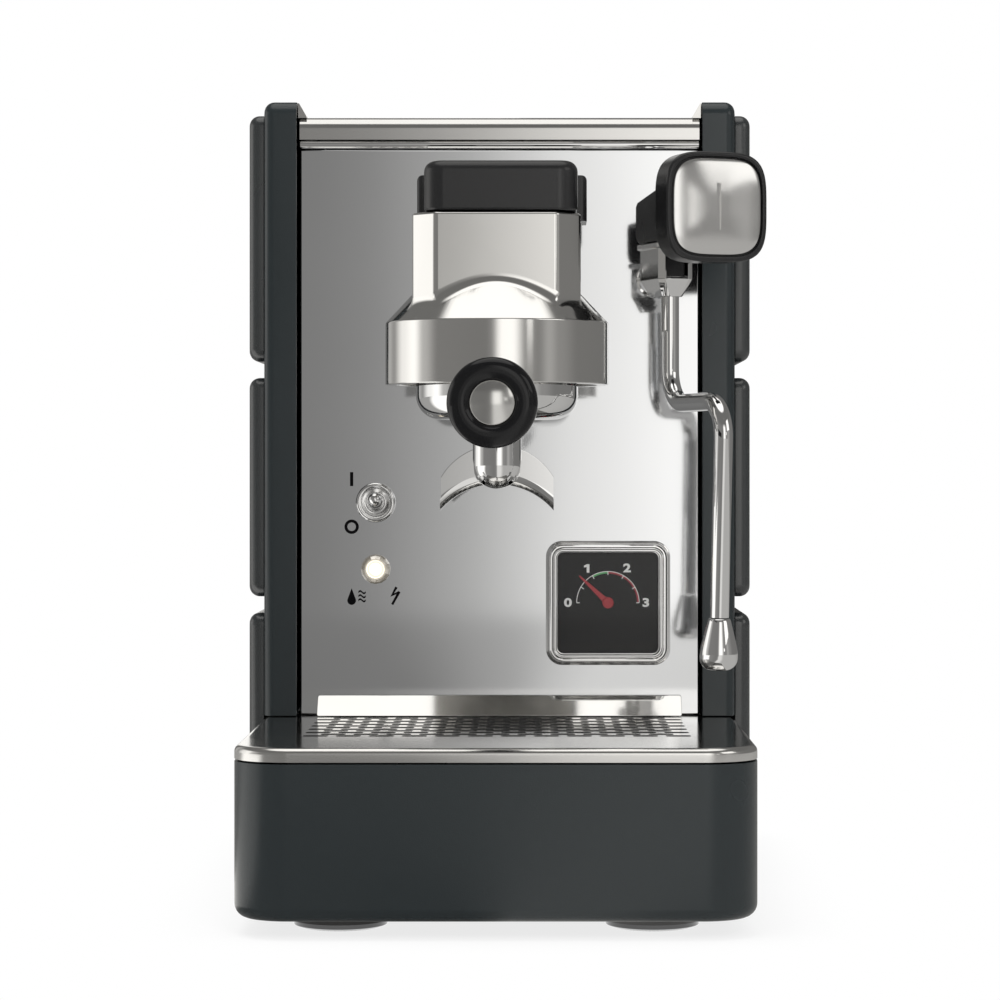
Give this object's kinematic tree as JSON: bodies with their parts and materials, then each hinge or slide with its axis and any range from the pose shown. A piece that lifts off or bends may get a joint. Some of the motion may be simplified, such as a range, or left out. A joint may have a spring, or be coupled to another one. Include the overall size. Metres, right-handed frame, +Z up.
{
  "type": "lever espresso machine",
  "caption": "Countertop espresso machine with a paddle lever on its group, a bayonet portafilter with a twin spout, and a lever steam tap with a swivelling wand.",
  "frame": {"origin": "on the surface that the machine stands on, under the middle of its bounding box with the portafilter's handle", "axes": "+X to the right of someone who stands in front, +Y to the back, +Z up"},
  "size_m": [0.2472, 0.522, 0.386],
  "materials": {
    "paint": "satin powder coat",
    "pad": "satin",
    "polished_steel": "polished",
    "satin_steel": "satin",
    "chrome": "polished",
    "group_metal": "polished",
    "black_plastic": "fine satin",
    "gloss_black": "gloss",
    "rubber": "matte",
    "brass": "satin",
    "copper": "satin copper",
    "needle": "satin",
    "gauge_glass": "clear",
    "lamp": "clear",
    "tank": "smoked",
    "silicone": "translucent"
  },
  "bodies": {
    "machine": {"base_housing": "paint", "foot_front_left": "rubber", "foot_front_right": "rubber", "foot_rear_left": "rubber", "foot_rear_right": "rubber", "chassis_deck": "satin_steel", "side_frame_left": "paint", "side_frame_right": "paint", "side_pad_left_upper": "pad", "side_pad_left_middle": "pad", "side_pad_left_lower": "pad", "side_pad_right_upper": "pad", "side_pad_right_middle": "pad", "side_pad_right_lower": "pad", "front_panel": "polished_steel", "mounting_plate": "satin_steel", "top_rail": "chrome", "top_cover": "polished_steel", "tank_shelf": "satin_steel", "rear_panel": "paint", "mains_inlet": "black_plastic", "group_head": "group_metal", "group_gasket": "rubber", "shower_screen": "satin_steel", "group_neck": "brass", "lever_bracket": "satin_steel", "lever_pin": "satin_steel", "steam_tap": "chrome", "tap_lever_pin": "satin_steel", "switch_bezel": "chrome", "lamp_lens": "lamp", "gauge_frame": "chrome", "gauge_dial": "gloss_black", "gauge_glass": "gauge_glass", "boiler": "brass", "heating_element": "satin_steel", "pressure_switch": "black_plastic", "solenoid_valve": "brass", "pump": "black_plastic", "control_box": "black_plastic", "suction_hose": "silicone", "feed_pipe": "copper", "steam_pipe": "copper"},
    "brew_lever": {"brew_lever": "black_plastic"},
    "portafilter": {"portafilter_body": "chrome", "portafilter_handle": "gloss_black", "handle_button": "polished_steel", "portafilter_spout": "chrome", "filter_basket": "satin_steel"},
    "tap_lever": {"tap_lever": "black_plastic", "knob_face": "satin_steel"},
    "steam_wand": {"steam_wand": "chrome", "wand_tip": "chrome"},
    "switch_bat": {"switch_bat": "chrome"},
    "gauge_needle": {"gauge_needle": "needle"},
    "drip_tray": {"drip_tray": "polished_steel"},
    "tray_cover": {"tray_cover": "polished_steel", "cover_lip": "polished_steel"},
    "water_tank": {"water_tank": "tank"},
    "tank_lid": {"tank_lid": "polished_steel"}
  },
  "joints": [
    {"name": "brew_lever_hinge", "type": "hinge", "parent": "machine", "child": "brew_lever", "pos_m": [0.002, -0.019, 0.331], "axis": [-1, 0, 0], "range_deg": [0, 35]},
    {"name": "portafilter_turn", "type": "hinge", "parent": "machine", "child": "portafilter", "pos_m": [0, -0.072, 0.24], "axis": [0, 0, 1], "range_deg": [-45, 0]},
    {"name": "tap_lever_hinge", "type": "hinge", "parent": "machine", "child": "tap_lever", "pos_m": [0.07588, -0.02103, 0.317], "axis": [-0.9397, -0.342, 0], "range_deg": [0, 30]},
    {"name": "steam_wand_swivel", "type": "hinge", "parent": "machine", "child": "steam_wand", "pos_m": [0.0806, -0.034, 0.29], "axis": [0, 0, 1], "range_deg": [-45, 70]},
    {"name": "switch_hinge", "type": "hinge", "parent": "machine", "child": "switch_bat", "pos_m": [-0.0611, 0.046, 0.189], "axis": [1, 0, 0], "range_deg": [0, 16]},
    {"name": "needle_turn", "type": "hinge", "parent": "machine", "child": "gauge_needle", "pos_m": [0.0534, 0.0427, 0.1396], "axis": [0, 1, 0], "range_deg": [-43.3, 136.7], "stiffness_Nm_per_rad": 0.001},
    {"name": "drip_tray_lift", "type": "slide", "parent": "machine", "child": "drip_tray", "axis": [0, 0, 1], "range_m": [0, 0.006]},
    {"name": "tray_cover_lift", "type": "slide", "parent": "drip_tray", "child": "tray_cover", "axis": [0, 0, 1], "range_m": [0, 0.0085]},
    {"name": "water_tank_lift", "type": "slide", "parent": "machine", "child": "water_tank", "axis": [0, 0, 1], "range_m": [0, 0.2]},
    {"name": "tank_lid_lift", "type": "slide", "parent": "water_tank", "child": "tank_lid", "axis": [0, 0, 1], "range_m": [0, 0.06]}
  ]
}
